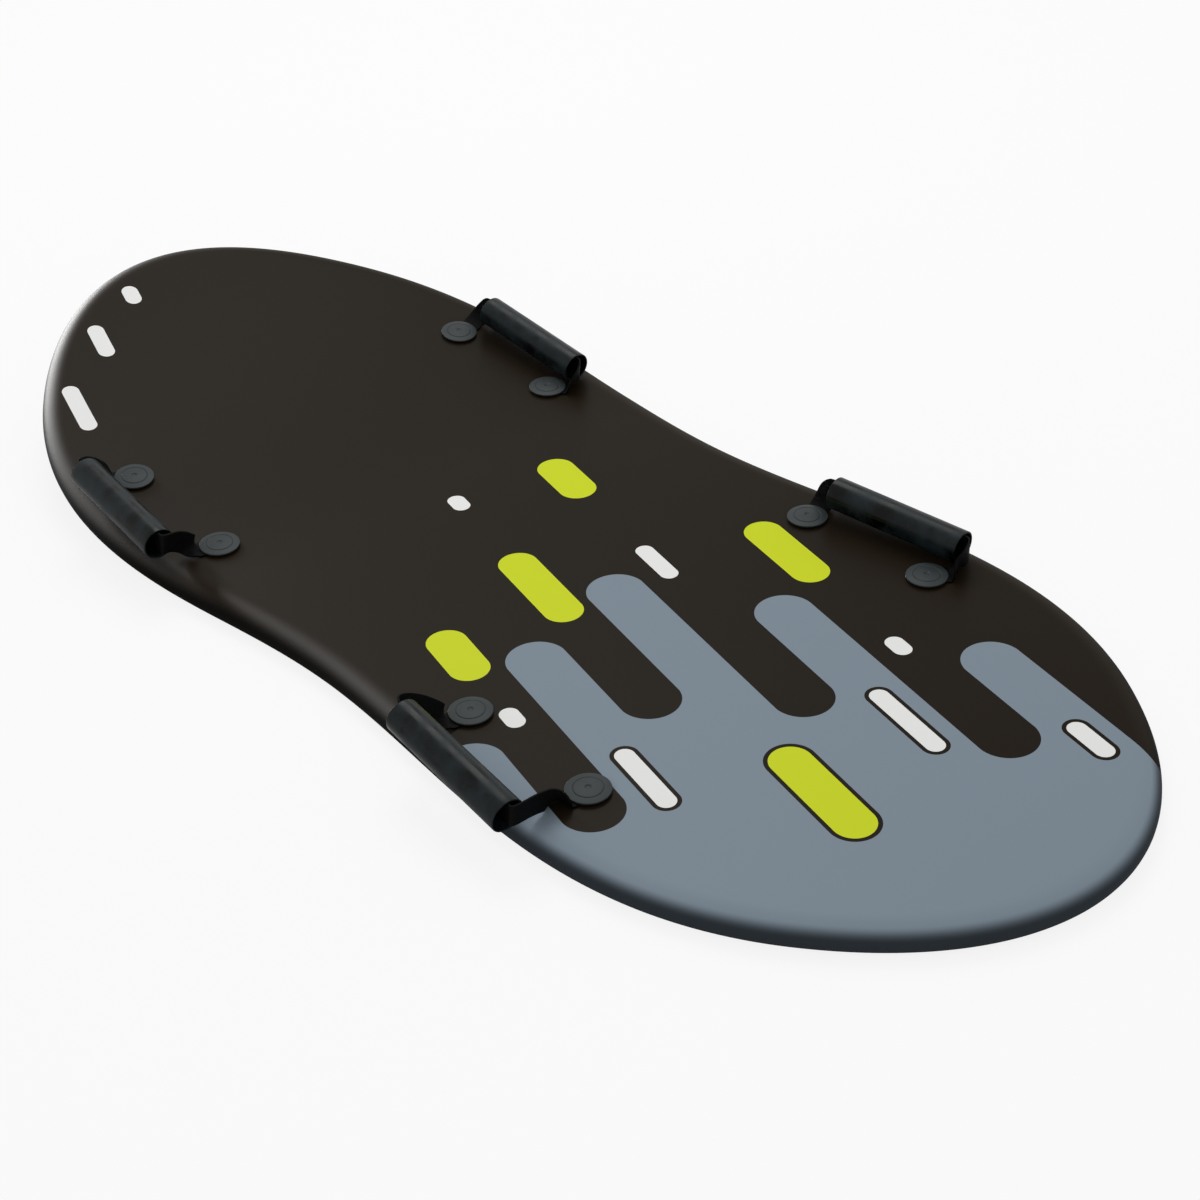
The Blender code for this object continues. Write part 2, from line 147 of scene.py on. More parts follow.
# %% Board space
BOARD_LENGTH = 1190 * MM
WAIST_WIDTH = 462 * MM
END_WIDTH = 634 * MM
SWELL_RUN = 475 * MM
BOARD_THICKNESS = 22 * MM
NOSE_BEND_START = 139 * MM
NOSE_BEND_RADIUS = 1210 * MM
NUDGE = 1e-4                 # a step small enough to take slopes with


def bend_angle(s):
    return max(-NOSE_BEND_START - s, 0.0) / NOSE_BEND_RADIUS


def board_point(x, s, height):
    angle = bend_angle(s)
    if angle == 0.0:
        return Vector((x, s, BOARD_THICKNESS + height))
    reach = NOSE_BEND_RADIUS - height
    rise = BOARD_THICKNESS + NOSE_BEND_RADIUS - reach * math.cos(angle)
    return Vector((x, -NOSE_BEND_START - reach * math.sin(angle), rise))


def board_frame(x, s, height=0.0):
    """A frame that stands on the bent deck: Y runs to the tail and Z is the deck's normal."""
    return Matrix.Translation(board_point(x, s, height)) @ Matrix.Rotation(-bend_angle(s), 4, "X")


def smooth_step(share):
    share = min(max(share, 0.0), 1.0)
    return share * share * (3.0 - 2.0 * share)


def on_outline(turn):
    s = -BOARD_LENGTH / 2 * math.cos(turn)
    width = WAIST_WIDTH + (END_WIDTH - WAIST_WIDTH) * smooth_step(abs(s) / SWELL_RUN)
    return Vector((width / 2 * math.sin(turn), s))


def outline_place(turn, inset):
    """A place on the outline drawn in by inset: turn is 0 at the nose's tip and pi at the tail's."""
    along = on_outline(turn + NUDGE) - on_outline(turn - NUDGE)
    return on_outline(turn) - Vector((along.y, -along.x)).normalized() * inset


print("half width at the waist:", round(on_outline(math.pi / 2).x, 4))
print("nose tip:", [round(value, 4) for value in board_point(0, -BOARD_LENGTH / 2, 0)])

# %% [markdown]
# ## Small modelling tools
#
# Every finished piece has its place in its mesh, so its object sits at the origin. Round pieces are turned:
# a half section is spun about its axis, its seam and poles are merged, and its normals are recalculated. A
# primitive cylinder would be quicker, but has no rounds, grooves or bore. A cutter takes holes out of a piece
# through a Boolean, whose result becomes the mesh.

# %% Modelling tools
MERGE_DISTANCE = 0.005 * MM
CREASE = 35                  # edges sharper than this many degrees are drawn sharp


def add_piece(name, mesh, material, body=None):
    """Make the mesh an object that rides on a body, if one is given, and takes the given material as its
    finish.
    """
    mesh.name = name
    mesh.materials.clear()
    mesh.materials.append(material)
    piece = bpy.data.objects.new(name, mesh)
    bpy.context.scene.collection.objects.link(piece)
    if body:
        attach(piece, body)
    return piece


def finished_mesh(bm, crease=CREASE):
    mesh = bpy.data.meshes.new("piece")
    bm.to_mesh(mesh)
    bm.free()
    mesh.shade_smooth()
    mesh.set_sharp_from_angle(angle=math.radians(crease))
    return mesh


def turned(profile, sides):
    """Spin a half section of radii and heights once round Z."""
    bm = bmesh.new()
    verts = [bm.verts.new((radius, 0.0, height)) for radius, height in profile]
    edges = [bm.edges.new(pair) for pair in zip(verts, verts[1:])]
    bmesh.ops.spin(
        bm, geom=verts + edges, cent=(0, 0, 0), axis=(0, 0, 1), angle=math.tau, steps=sides,
        use_merge=True,
    )
    bmesh.ops.remove_doubles(bm, verts=bm.verts, dist=MERGE_DISTANCE)
    bmesh.ops.recalc_face_normals(bm, faces=bm.faces)
    return bm


def arc(centre, radius, start, end, steps):
    """Points of a rounded corner in a half section, from one angle to another in degrees."""
    angles = [math.radians(start + (end - start) * index / steps) for index in range(steps + 1)]
    return [(centre[0] + radius * math.cos(a), centre[1] + radius * math.sin(a)) for a in angles]


def cut(mesh, cutter_mesh):
    """The mesh with the cutter's solids taken out of it."""
    piece = bpy.data.objects.new("uncut", mesh)
    cutter = bpy.data.objects.new("cutter", cutter_mesh)
    for helper in (piece, cutter):
        bpy.context.scene.collection.objects.link(helper)
    boolean = piece.modifiers.new("cut", "BOOLEAN")
    boolean.operation = "DIFFERENCE"
    boolean.solver = "EXACT"
    boolean.object = cutter
    bpy.context.view_layer.update()
    result = bpy.data.meshes.new_from_object(piece.evaluated_get(bpy.context.evaluated_depsgraph_get()))
    for helper in (piece, cutter):
        bpy.data.objects.remove(helper, do_unlink=True)
    result.shade_smooth()
    result.set_sharp_from_angle(angle=math.radians(CREASE))
    return result


print("edges are drawn sharp over", CREASE, "degrees")

# %% [markdown]
# ## Where the fixings are
#
# Each handle has two fixings, one ahead of its grip and one behind it. The row of fixings, their pitch and
# the four places along the board serve the holes, the caps, the buttons and the webbing alike, so they are
# written once, and a piece moved here takes all that belongs to it along.

# %% Fixings
FIXING_INSET = 41.5 * MM     # in from the edge at the waist
FIXING_ROW = WAIST_WIDTH / 2 - FIXING_INSET
FIXING_PITCH = 132 * MM
FRONT_HANDLE_PLACE = -260 * MM
REAR_HANDLE_PLACE = 208 * MM

# How each soft handle lies. reach is from the row of fixings out to the grip's axis, as a share of the pitch.
# The other shares are of the webbing's width. lift is the air under the grip, and slip how far it has slid
# towards the tail. turn_out swings the grip's tail end outward and droop lowers it, in degrees. The rest
# shapes the two loops, nose end first: splays turn the webbing aside where it leaves its cap and climbs tilt
# it up, in degrees, leave and enter say how far it holds its way past the cap and before the grip, and sag
# lowers it there
HANDLES = (
    {"name": "front_left", "side": 1, "place": FRONT_HANDLE_PLACE,
     "reach_share": 0.366, "lift_share": 0.59, "slip_share": -0.34, "turn_out": 4.0, "droop": 0.3,
     "splays": (30, -20), "climbs": (55, 55),
     "leave_shares": (1.60, 1.50), "enter_shares": (0.25, 0.50), "sag_shares": (0.30, 0.0)},
    {"name": "rear_left", "side": 1, "place": REAR_HANDLE_PLACE,
     "reach_share": 0.498, "lift_share": 0.49, "slip_share": -0.22, "turn_out": 3.6, "droop": 7.5,
     "splays": (10, -10), "climbs": (55, 45),
     "leave_shares": (1.75, 1.25), "enter_shares": (0.50, 0.35), "sag_shares": (0.0, 0.0)},
    {"name": "front_right", "side": -1, "place": FRONT_HANDLE_PLACE,
     "reach_share": 0.235, "lift_share": 0.235, "slip_share": 0.50, "turn_out": -0.8, "droop": 2.4,
     "splays": (10, 50), "climbs": (15, 55),
     "leave_shares": (0.95, 1.00), "enter_shares": (0.15, 0.25), "sag_shares": (0.0, 0.0)},
    {"name": "rear_right", "side": -1, "place": REAR_HANDLE_PLACE,
     "reach_share": 0.228, "lift_share": 0.175, "slip_share": 0.45, "turn_out": 6.5, "droop": 2.7,
     "splays": (10, 40), "climbs": (15, 55),
     "leave_shares": (0.60, 1.25), "enter_shares": (0.35, 0.35), "sag_shares": (0.15, 0.0)},
)
HOLE_SIDES = 48


def fixing_places():
    """Each fixing as its name, x and s."""
    return [
        (handle["name"] + end, handle["side"] * FIXING_ROW, handle["place"] + way * FIXING_PITCH / 2)
        for handle in HANDLES for end, way in (("_a", -1), ("_b", 1))
    ]


def hole_cutter(radius, low, high):
    """A plug at each fixing of the flat board, between two heights from its deck."""
    bm = bmesh.new()
    for _, x, s in fixing_places():
        bmesh.ops.create_cone(
            bm, cap_ends=True, segments=HOLE_SIDES, radius1=radius, radius2=radius, depth=high - low,
            matrix=Matrix.Translation((x, s, (low + high) / 2)),
        )
    return finished_mesh(bm)


print("fixings:", [name for name, _, _ in fixing_places()])

# %% [markdown]
# ## Finish of the printed skin
#
# The skin is a polyethylene film, printed on its back and laminated to foam. To the eye that is an even ink
# under a satin film, with the foam's cells just showing through as orange peel. All round the edge the ink
# darkens to near black and the film is duller, where it was stretched over the foam: the near black of the
# skin's side is its own, but the fall to it over the rounded edge is painted shade. The print is a generic
# design: slate fingers with round ends reach forward from the tail and brown ones reach back between them,
# with lime and white pills in some lanes and a few small white ones near the nose.
#
# It could be a picture, but shapes drawn from distances stay sharp at any size. The deck is split into lanes,
# each lane looks up where its pill starts and ends, and a point is inked where it is near that line. The
# attribute deck_place gives each point its x and s on the flat board and how far in from the edge it is.

# %% Print design
DECK_BROWN = linear("211A11")
SLATE = linear("8896A2")
LIME = linear("D9E62A")
PRINT_WHITE = linear("FAFAF8")

PRINT_TILT = math.radians(14)
LANE_PITCH = 50 * MM
LANE_COUNT = 18
ALONG_LOW = -0.8             # a ramp holds places along a lane from here, in metres
ALONG_SPAN = 1.6             # over this length
PEN_LINE = 3.5 * MM
LIME_RADIUS = 17 * MM
WHITE_RADIUS = 8 * MM
TAIL = 0.75                  # past the tail, where slate fingers end and unused pills wait
HEAD = -TAIL                 # past the nose, where brown fingers start

# Lane numbers rise from the right edge to the left one, and the numbers beside them are metres along the lane
SLATE_STARTS = {2: 0.46, 4: 0.34, 6: 0.20, 8: 0.10, 10: 0.15, 12: 0.24, 14: 0.36}
BROWN_ENDS = {3: 0.53, 5: 0.42, 7: 0.30, 9: 0.24, 11: 0.33, 13: 0.45, 15: 0.53}
SLATE_FINGERS = {lane: (SLATE_STARTS.get(lane, HEAD), TAIL) for lane in range(LANE_COUNT)}
BROWN_FINGERS = {lane: (HEAD, end) for lane, end in BROWN_ENDS.items()}
LIME_PILLS = {
    5: (0.09, 0.16), 7: (-0.10, -0.06), 8: (0.36, 0.44), 9: (0.02, 0.10), 11: (0.09, 0.13), 12: (0.40, 0.43),
}
WHITE_PILLS = {
    4: (0.44, 0.47), 5: (0.28, 0.29), 6: (0.33, 0.40), 7: (0.06, 0.10), 9: (-0.10, -0.09),
    10: (0.29, 0.35), 11: (0.20, 0.21), 12: (-0.53, -0.52), 13: (-0.485, -0.455), 14: (-0.41, -0.36),
}
print("lanes:", LANE_COUNT, "of", LANE_PITCH, "m, with", len(LIME_PILLS) + len(WHITE_PILLS), "pills")


# %% Print nodes
def pill_distance(tree, lane_share, along, aside, pills):
    """How far a point is from its lane's line, in metres."""
    ramp = add_node(tree, "ShaderNodeValToRGB", {"Fac": lane_share})
    ramp.node.color_ramp.interpolation = "CONSTANT"
    stops = ramp.node.color_ramp.elements
    for lane in range(LANE_COUNT):  # a new ramp has two stops already
        stop = stops[lane] if lane < 2 else stops.new(lane / LANE_COUNT)
        stop.position = lane / LANE_COUNT
        start, end = [(place - ALONG_LOW) / ALONG_SPAN for place in pills.get(lane, (TAIL, TAIL))]
        stop.color = (start, end, 0.0, 1.0)
    ends = add_node(tree, "ShaderNodeSeparateColor", {"Color": ramp}).node
    start, end = [
        add_node(
            tree, "ShaderNodeMath", {0: channel, 1: ALONG_SPAN, 2: ALONG_LOW}, operation="MULTIPLY_ADD"
        )
        for channel in ends.outputs[:2]
    ]
    before = add_node(tree, "ShaderNodeMath", {0: start, 1: along}, operation="SUBTRACT")
    after = add_node(tree, "ShaderNodeMath", {0: along, 1: end}, operation="SUBTRACT")
    past = add_node(tree, "ShaderNodeMath", {0: before, 1: after}, operation="MAXIMUM")
    past = add_node(tree, "ShaderNodeMath", {0: past, 1: 0.0}, operation="MAXIMUM")
    both = add_node(tree, "ShaderNodeCombineXYZ", {"X": past, "Y": aside})
    return add_node(tree, "ShaderNodeVectorMath", {0: both}, out="Value", operation="LENGTH")


def ink(tree, under, colour, distance, radius):
    """Lay a colour over what is under it wherever the distance is less than the radius."""
    inside = add_node(tree, "ShaderNodeMath", {0: distance, 1: radius}, operation="LESS_THAN")
    return add_node(
        tree, "ShaderNodeMix", {"Factor": inside, "A": under, "B": colour}, out="Result", data_type="RGBA"
    )


def print_colour(tree, place):
    """The design's colour at a place on the flat deck."""
    turned_place = add_node(
        tree, "ShaderNodeVectorRotate", {"Vector": place, "Angle": PRINT_TILT}, rotation_type="Z_AXIS"
    )
    across, along, _ = add_node(tree, "ShaderNodeSeparateXYZ", {0: turned_place}).node.outputs
    lanes = add_node(
        tree, "ShaderNodeMath", {0: across, 1: 1 / LANE_PITCH, 2: LANE_COUNT / 2}, operation="MULTIPLY_ADD"
    )
    lane = add_node(tree, "ShaderNodeMath", {0: lanes}, operation="FLOOR")
    within = add_node(tree, "ShaderNodeMath", {0: lanes}, operation="FRACT")
    share = add_node(
        tree, "ShaderNodeMath", {0: lane, 1: 1 / LANE_COUNT, 2: 0.5 / LANE_COUNT}, operation="MULTIPLY_ADD"
    )
    aside = add_node(
        tree, "ShaderNodeMath", {0: within, 1: LANE_PITCH, 2: -LANE_PITCH / 2}, operation="MULTIPLY_ADD"
    )
    fingers = pill_distance(tree, share, along, aside, SLATE_FINGERS)
    colour = ink(tree, DECK_BROWN, SLATE, fingers, LANE_PITCH / 2 + NUDGE)
    fingers = pill_distance(tree, share, along, aside, BROWN_FINGERS)
    colour = ink(tree, colour, DECK_BROWN, fingers, LANE_PITCH / 2 + NUDGE)
    for pills, radius, fill in ((LIME_PILLS, LIME_RADIUS, LIME), (WHITE_PILLS, WHITE_RADIUS, PRINT_WHITE)):
        distance = pill_distance(tree, share, along, aside, pills)
        colour = ink(tree, colour, DECK_BROWN, distance, radius + PEN_LINE)
        colour = ink(tree, colour, fill, distance, radius)
    return colour


print("a ramp has room for 32 stops, and the lanes take", LANE_COUNT)

# %% Printed film
# Painted shade: the ink is darkened over the last few millimetres in from the edge, standing in for the shade
# of the rounded edge
PAINTED_SHADE_START = 0.5 * MM
PAINTED_SHADE_END = 9 * MM
PAINTED_EDGE_SHADE = 0.13            # painted shade: the share of the ink's colour left at the edge, which is also the skin's near black side
EDGE_STRETCH_END = 22 * MM   # the film is stretched and duller over the rounded edge
EDGE_ROUGHNESS = 0.55
DECK_ROUGHNESS = 0.32
ORANGE_PEEL = 3.5 * MM       # the foam's cells are about 1 mm, drawn coarser so that they show
ORANGE_PEEL_DEPTH = 0.05 * MM


def make_printed_film():
    """Printed polyethylene film laminated to foam: satin, very dark and even."""
    material, tree, shader = start_material("printed_polyethylene_film", IOR=1.5, Specular_IOR_Level=0.03)
    place = add_node(tree, "ShaderNodeAttribute", out="Vector", attribute_name="deck_place")
    edge = add_node(tree, "ShaderNodeSeparateXYZ", {0: place}, out="Z")
    coordinates = add_node(tree, "ShaderNodeTexCoord", out="Object")
    # Painted shade: the print is darkened towards the edge as if the rounded edge stood in shade, down to the
    # near black of the skin's side
    painted_shade = add_node(
        tree, "ShaderNodeMapRange",
        {"Value": edge, "From Min": PAINTED_SHADE_START, "From Max": PAINTED_SHADE_END, "To Min": PAINTED_EDGE_SHADE},
        interpolation_type="SMOOTHSTEP",
    )
    colour = add_node(
        tree, "ShaderNodeVectorMath", {0: print_colour(tree, place), "Scale": painted_shade}, operation="SCALE"
    )
    gloss = add_node(
        tree, "ShaderNodeMapRange",
        {"Value": edge, "From Max": EDGE_STRETCH_END, "To Min": EDGE_ROUGHNESS, "To Max": DECK_ROUGHNESS},
        interpolation_type="SMOOTHSTEP",
    )
    cells = add_node(
        tree, "ShaderNodeTexNoise", {"Vector": coordinates, "Scale": 1 / ORANGE_PEEL, "Detail": 2.0}
    )
    bump = add_node(
        tree, "ShaderNodeBump", {"Height": cells, "Strength": 0.6, "Distance": ORANGE_PEEL_DEPTH}
    )
    tree.links.new(colour, shader.inputs["Base Color"])
    tree.links.new(gloss, shader.inputs["Roughness"])
    tree.links.new(bump, shader.inputs["Normal"])
    return material


printed_film = make_printed_film()
print("printed film:", len(printed_film.node_tree.nodes), "nodes")

# %% [markdown]
# ## The printed skin
#
# The skin covers the deck, wraps the rounded edge and ends in a lip under the belly. A slab with a bevel
# could stand for it, but the real edge is soft and wide above and tighter below. So a grid drawn to the
# outline makes the deck, and its border is extruded ring by ring along the edge's section, which leaves no
# seam between them. The sheet gets its wall, the holes for the caps' barrels are cut, and only then is it
# bent, as the real board is: it is cut flat, and its nose is heated and pressed up.

# %% Printed skin
DECK_EDGE_DROP = 12 * MM     # the deck's edge is a quarter of an ellipse, this high
DECK_EDGE_REACH = 20 * MM    # and this wide
FLAT_RINGS = (10 * MM, 4 * MM)  # how far inside that edge the grid ends and one more ring runs
BELLY_EDGE_RADIUS = 9 * MM
SKIN_THICKNESS = 1.5 * MM
SKIN_LIP = 5 * MM
FIT_GAP = 0.3 * MM
BARREL_RADIUS = 4 * MM
BELLY = -BOARD_THICKNESS
DECK_ROWS = 260
DECK_COLUMNS = 48
OUTLINE_SAMPLES = 8000
DECK_ROUND_STEPS = 14
BELLY_ROUND_STEPS = 8


def drawn_grid(rows, columns, inset, height):
    """A grid drawn to the flat outline: rows run from the nose's tip to the tail's."""
    bm = bmesh.new()
    bmesh.ops.create_grid(bm, x_segments=columns, y_segments=rows, size=1.0)
    turn = bm.verts.layers.float.new("turn")
    for vert in bm.verts:
        angle = (vert.co.y + 1.0) / 2 * math.pi
        edge = outline_place(angle, inset)
        vert[turn] = math.copysign(angle, vert.co.x)
        vert.co = (edge.x * vert.co.x, edge.y, height)
    bmesh.ops.remove_doubles(bm, verts=bm.verts, dist=MERGE_DISTANCE)
    return bm, turn


def extrude_border(bm, turn, inset, height):
    """Extrude the sheet's border to the next ring of its section."""
    bmesh.ops.extrude_edge_only(bm, edges=[edge for edge in bm.edges if edge.is_boundary])
    for vert in {vert for edge in bm.edges if edge.is_boundary for vert in edge.verts}:
        place = outline_place(vert[turn], inset)
        vert.co = (place.x, place.y, height)


def bend_up(mesh):
    """Move a mesh of the flat board, whose heights are from the deck, into the room."""
    for vert in mesh.vertices:
        vert.co = board_point(*vert.co)


def note_deck_place(mesh):
    """Give each point of the flat mesh its place and its distance in from the edge."""
    samples = [on_outline(math.tau * index / OUTLINE_SAMPLES) for index in range(OUTLINE_SAMPLES)]
    tree = KDTree(len(samples))
    for index, sample in enumerate(samples):
        tree.insert((sample.x, sample.y, 0.0), index)
    tree.balance()
    places = mesh.attributes.new("deck_place", "FLOAT_VECTOR", "POINT")
    for vert, place in zip(mesh.vertices, places.data):
        x, s, height = vert.co
        inset = tree.find((x, s, 0.0))[2] if height > -DECK_EDGE_DROP else 0.0
        place.vector = (x, s, inset)


def make_skin_mesh():
    bm, turn = drawn_grid(DECK_ROWS, DECK_COLUMNS, DECK_EDGE_REACH + FLAT_RINGS[0], 0.0)
    extrude_border(bm, turn, DECK_EDGE_REACH + FLAT_RINGS[1], 0.0)
    for out, up in arc((0.0, 0.0), 1.0, 90, 0, DECK_ROUND_STEPS):
        extrude_border(bm, turn, DECK_EDGE_REACH * (1.0 - out), DECK_EDGE_DROP * (up - 1.0))
    for out, up in arc((0.0, 0.0), BELLY_EDGE_RADIUS, 0, -90, BELLY_ROUND_STEPS):
        extrude_border(bm, turn, BELLY_EDGE_RADIUS - out, BELLY + BELLY_EDGE_RADIUS + up)
    extrude_border(bm, turn, BELLY_EDGE_RADIUS + SKIN_LIP, BELLY)
    bmesh.ops.recalc_face_normals(bm, faces=bm.faces)
    if max(bm.verts, key=lambda vert: vert.co.z).normal.z < 0:
        bmesh.ops.reverse_faces(bm, faces=bm.faces)
    bmesh.ops.solidify(bm, geom=bm.faces, thickness=SKIN_THICKNESS)
    bmesh.ops.recalc_face_normals(bm, faces=bm.faces)
    holes = hole_cutter(BARREL_RADIUS + FIT_GAP, -3 * SKIN_THICKNESS, 3 * SKIN_THICKNESS)
    mesh = cut(finished_mesh(bm), holes)
    note_deck_place(mesh)
    print("flat skin's heights:", [round(pick(v.co.z for v in mesh.vertices), 5) for pick in (min, max)])
    bend_up(mesh)
    return mesh


printed_skin = add_piece("printed_skin", make_skin_mesh(), printed_film, "board")
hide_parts("deck_skin")
print("printed skin:", len(printed_skin.data.polygons), "faces")

# %% [markdown]
# ## The slick sheet and the foam
#
# The belly is a sheet of extruded high-density polyethylene, which slides well on snow. To the eye it is
# glossy and almost black, with faint lines along the board from the extruder's die. It could be a second
# material on the skin, but it is a sheet of its own, so it is drawn and bent as the skin is, with a hole for
# each button. The foam between the two sheets shows only inside the holes, so the working model's own solid
# is kept, with the pale cells of cut foam on it.

# %% Slick sheet
SLICK_THICKNESS = 1.5 * MM
BUTTON_RADIUS = 14 * MM
DIE_LINE_PITCH = 4 * MM      # real die lines are finer than 1 mm, drawn coarser so that they show
DIE_LINE_LENGTH = 400 * MM
DIE_LINE_DEPTH = 0.03 * MM


def make_slick_polyethylene():
    """Extruded high-density polyethylene sheet: waxy gloss, black, with die lines along it."""
    material, tree, shader = start_material(
        "extruded_polyethylene_sheet", Base_Color=linear("1E2023"), IOR=1.54
    )
    coordinates = add_node(tree, "ShaderNodeTexCoord", out="Object")
    stretched = add_node(
        tree, "ShaderNodeMapping",
        {"Vector": coordinates, "Scale": (1 / DIE_LINE_PITCH, 1 / DIE_LINE_LENGTH, 1 / DIE_LINE_PITCH)},
    )
    lines = add_node(tree, "ShaderNodeTexNoise", {"Vector": stretched, "Scale": 1.0, "Detail": 3.0})
    gloss = add_node(tree, "ShaderNodeMapRange", {"Value": lines, "To Min": 0.24, "To Max": 0.38})
    bump = add_node(tree, "ShaderNodeBump", {"Height": lines, "Strength": 0.5, "Distance": DIE_LINE_DEPTH})
    tree.links.new(gloss, shader.inputs["Roughness"])
    tree.links.new(bump, shader.inputs["Normal"])
    return material


def make_slick_mesh():
    bm, turn = drawn_grid(DECK_ROWS, DECK_COLUMNS // 2, BELLY_EDGE_RADIUS + SKIN_LIP + FIT_GAP, BELLY)
    bmesh.ops.recalc_face_normals(bm, faces=bm.faces)
    if bm.faces[:][0].normal.z > 0:
        bmesh.ops.reverse_faces(bm, faces=bm.faces)
    bmesh.ops.solidify(bm, geom=bm.faces, thickness=SLICK_THICKNESS)
    bmesh.ops.recalc_face_normals(bm, faces=bm.faces)
    pockets = hole_cutter(BUTTON_RADIUS + FIT_GAP, BELLY - SLICK_THICKNESS, BELLY + 2 * SLICK_THICKNESS)
    mesh = cut(finished_mesh(bm), pockets)
    bend_up(mesh)
    return mesh


slick_sheet = add_piece("slick_sheet", make_slick_mesh(), make_slick_polyethylene(), "board")
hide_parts("slick_bottom")
print("slick sheet:", len(slick_sheet.data.polygons), "faces")

# %% Foam
FOAM_CELL = 1.2 * MM
FOAM_CELL_DEPTH = 0.2 * MM


def make_closed_cell_foam():
    """Expanded polyethylene foam, cut: matt, pale grey, with open cells at the cut."""
    material, tree, shader = start_material("closed_cell_polyethylene_foam", Roughness=0.9, IOR=1.5)
    coordinates = add_node(tree, "ShaderNodeTexCoord", out="Object")
    cells = add_node(tree, "ShaderNodeTexVoronoi", {"Vector": coordinates, "Scale": 1 / FOAM_CELL})
    colour = add_node(
        tree, "ShaderNodeMix", {"Factor": cells, "A": linear("D6D8D6"), "B": linear("BDC0BE")},
        out="Result", data_type="RGBA",
    )
    bump = add_node(tree, "ShaderNodeBump", {"Height": cells, "Strength": 0.5, "Distance": FOAM_CELL_DEPTH})
    tree.links.new(colour, shader.inputs["Base Color"])
    tree.links.new(bump, shader.inputs["Normal"])
    return material


foam_core = bpy.data.objects["foam_core"]
foam_core.data.materials.clear()
foam_core.data.materials.append(make_closed_cell_foam())
print("foam core keeps its solid:", len(foam_core.data.polygons), "faces")

# %% [markdown]
# ## Caps and buttons
#
# The caps are moulded in polypropylene: a low dome with a ring groove, a dimple where the plastic entered the
# mould, and a hollow barrel that goes down through the foam. Under the board a flush button with a split stem
# snaps into each barrel. A bevelled cylinder would miss the groove, the dimple and the bore, so both are
# turned: one half section spun round its axis gives the whole form. A Boolean then cuts the slot that lets
# the stem spring.

# %% Moulded polypropylene
MOULD_GRAIN = 0.9 * MM       # spark-eroded grain is about 0.2 mm, drawn coarser so that it shows
MOULD_GRAIN_DEPTH = 0.02 * MM
FLOW_MARK = 14 * MM


def make_moulded_polypropylene():
    """Injection-moulded polypropylene: dark grey, waxy, fine grain, and clouds where the melt flowed."""
    material, tree, shader = start_material("moulded_polypropylene", IOR=1.49, Specular_IOR_Level=0.12)
    coordinates = add_node(tree, "ShaderNodeTexCoord", out="Object")
    flow = add_node(
        tree, "ShaderNodeTexNoise", {"Vector": coordinates, "Scale": 1 / FLOW_MARK, "Detail": 3.0}
    )
    colour = add_node(
        tree, "ShaderNodeMix", {"Factor": flow, "A": linear("282D2F"), "B": linear("3C4345")},
        out="Result", data_type="RGBA",
    )
    gloss = add_node(tree, "ShaderNodeMapRange", {"Value": flow, "To Min": 0.32, "To Max": 0.5})
    grain = add_node(
        tree, "ShaderNodeTexNoise", {"Vector": coordinates, "Scale": 1 / MOULD_GRAIN, "Detail": 2.0}
    )
    bump = add_node(
        tree, "ShaderNodeBump", {"Height": grain, "Strength": 0.6, "Distance": MOULD_GRAIN_DEPTH}
    )
    tree.links.new(colour, shader.inputs["Base Color"])
    tree.links.new(gloss, shader.inputs["Roughness"])
    tree.links.new(bump, shader.inputs["Normal"])
    return material


moulded_plastic = make_moulded_polypropylene()
print("moulded plastic:", len(moulded_plastic.node_tree.nodes), "nodes")

# %% Cap and button forms
STRAP_WIDTH = 20 * MM
STRAP_THICKNESS = 1.4 * MM
CAP_SEAT = FIT_GAP + STRAP_THICKNESS + FIT_GAP
CAP_RADIUS = 17.5 * MM
CAP_EDGE = 1.2 * MM
CAP_DOME = 1.6 * MM
CAP_EDGE_ROUND = 0.5 * MM
CAP_CHAMFER = 0.2 * MM
CROWN_STEP = 0.3 * MM
CROWN_CORNER_STEPS = 5
CAP_GROOVE_RADIUS = 11.5 * MM
CAP_GROOVE_WIDTH = 1.2 * MM
CAP_GROOVE_DEPTH = 0.4 * MM
CAP_DIMPLE_RADIUS = 3 * MM
CAP_DIMPLE_SLOPE = 0.6 * CAP_DIMPLE_RADIUS
CAP_DIMPLE_DEPTH = 0.7 * MM
BORE_RADIUS = 2.6 * MM
BORE_ROOF = 3 * MM
BUTTON_THICKNESS = 2.5 * MM
BUTTON_ROUND = 0.5 * MM
BUTTON_BOTTOM = BELLY + FIT_GAP
BUTTON_TOP = BUTTON_BOTTOM + BUTTON_THICKNESS
BARREL_END = BUTTON_TOP + FIT_GAP
STEM_LENGTH = 11 * MM
STEM_CHAMFER = 0.6 * MM
STEM_SLOT = 1 * MM
STEM_SLOT_DEPTH = 7 * MM
CORNER_STEPS = 4
ROUND_SIDES = 72


def dome_height(radius):
    """The cap's upper surface at one radius: a dome with a ring groove and a dimple in the middle."""
    height = CAP_SEAT + CAP_EDGE + CAP_DOME * (1.0 - (radius / CAP_RADIUS) ** 2)
    height -= CAP_DIMPLE_DEPTH * smooth_step((CAP_DIMPLE_RADIUS - radius) / CAP_DIMPLE_SLOPE)
    in_groove = 1.0 - abs(radius - CAP_GROOVE_RADIUS) / (CAP_GROOVE_WIDTH / 2)
    return height - CAP_GROOVE_DEPTH * smooth_step(in_groove)


